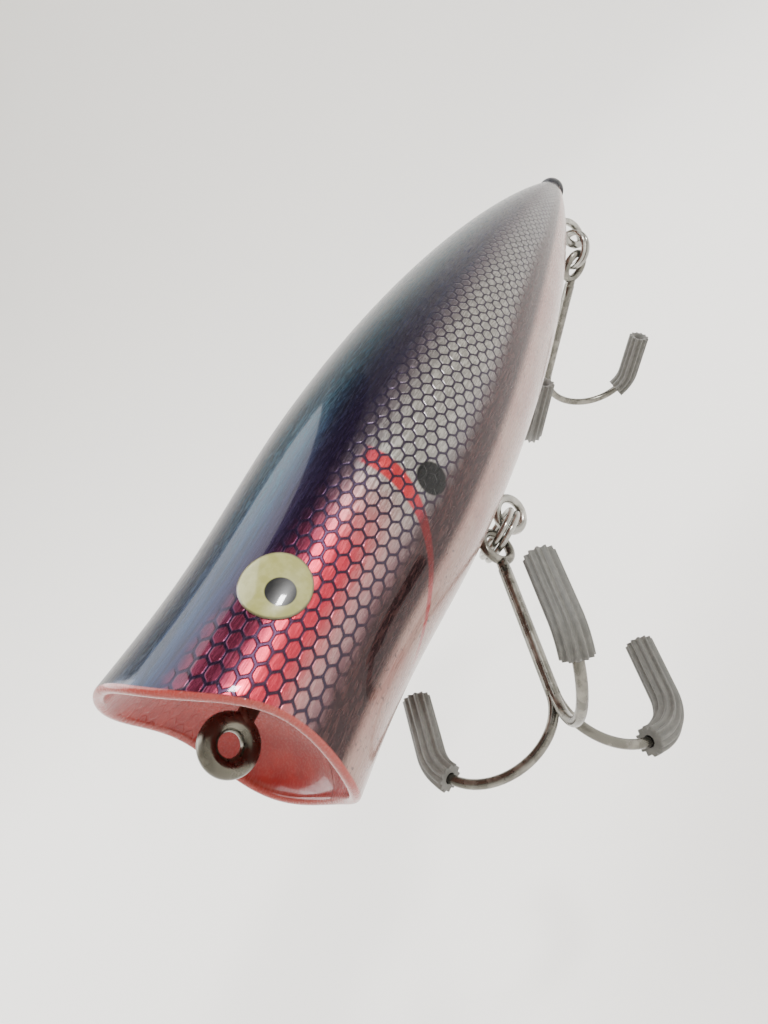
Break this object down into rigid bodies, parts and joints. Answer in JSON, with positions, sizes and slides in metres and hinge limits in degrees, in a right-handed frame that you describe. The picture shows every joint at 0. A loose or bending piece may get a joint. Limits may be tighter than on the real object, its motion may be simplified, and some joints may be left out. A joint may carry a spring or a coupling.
{
  "type": "topwater popper",
  "caption": "Hollow cup-faced fishing lure with a line tie in its mouth, painted scales, domed eyes and guarded treble hooks on split rings.",
  "frame": {"origin": "centre of the line-tie ring, on the body axis, in the mouth cup", "axes": "+X along the body from mouth to tail, +Y to the right flank, +Z to the back"},
  "size_m": [0.0915, 0.0458, 0.0472],
  "materials": {
    "body_shell": "glossy painted, scale pattern",
    "line_tie": "dark nickel",
    "hangers": "bright",
    "split_rings": "bright",
    "treble_hooks": "dark nickel",
    "hook_guards": "soft matte",
    "eyes": "printed under clear coat",
    "ballast": "plain",
    "rattle_balls": "polished",
    "tail_cap": "dark"
  },
  "bodies": {
    "body": {"body_shell_left": "body_shell", "body_shell_right": "body_shell", "line_tie_eye": "line_tie", "belly_hook_hanger": "hangers", "tail_hook_hanger": "hangers", "belly_weight": "ballast", "tail_weight": "ballast", "eye_left": "eyes", "eye_right": "eyes", "tail_cap": "tail_cap"},
    "belly_ring": {"belly_split_ring": "split_rings"},
    "belly_hook": {"belly_treble_hook": "treble_hooks", "belly_guard_1": "hook_guards", "belly_guard_2": "hook_guards", "belly_guard_3": "hook_guards"},
    "tail_ring": {"tail_split_ring": "split_rings"},
    "tail_hook": {"tail_treble_hook": "treble_hooks", "tail_guard_1": "hook_guards", "tail_guard_2": "hook_guards", "tail_guard_3": "hook_guards"},
    "rattle_1": {"rattle_ball_1": "rattle_balls"},
    "rattle_2": {"rattle_ball_2": "rattle_balls"},
    "rattle_3": {"rattle_ball_3": "rattle_balls"}
  },
  "joints": [
    {"name": "belly_ring_swing", "type": "hinge", "parent": "body", "child": "belly_ring", "pos_m": [0.0375, 0, -0.0146], "axis": [-0.0994, -0.9489, 0.2996], "range_deg": [0, 95]},
    {"name": "belly_hook_swing", "type": "hinge", "parent": "belly_ring", "child": "belly_hook", "pos_m": [0.032, -0.00105, -0.01415], "axis": [0.4867, -0.8366, 0.2515], "range_deg": [-25, 55]},
    {"name": "tail_ring_swing", "type": "hinge", "parent": "body", "child": "tail_ring", "pos_m": [0.0836, 0, -0.0056], "axis": [-0.1753, -0.968, -0.1796], "range_deg": [0, 80]},
    {"name": "tail_hook_swing", "type": "hinge", "parent": "tail_ring", "child": "tail_hook", "pos_m": [0.0805, 0.00115, -0.00878], "axis": [-0.1749, -0.9681, -0.1792], "range_deg": [-15, 45]},
    {"name": "rattle_1_roll", "type": "slide", "parent": "body", "child": "rattle_1", "axis": [1, 0, 0], "range_m": [0, 0.006]},
    {"name": "rattle_2_roll", "type": "slide", "parent": "body", "child": "rattle_2", "axis": [1, 0, 0], "range_m": [0, 0.006]},
    {"name": "rattle_3_roll", "type": "slide", "parent": "body", "child": "rattle_3", "axis": [1, 0, 0], "range_m": [0, 0.006]}
  ],
  "couplings": [
    {"joint": "rattle_1_roll", "follows": "rattle_3_roll", "ratio": 1},
    {"joint": "rattle_2_roll", "follows": "rattle_3_roll", "ratio": 1}
  ]
}
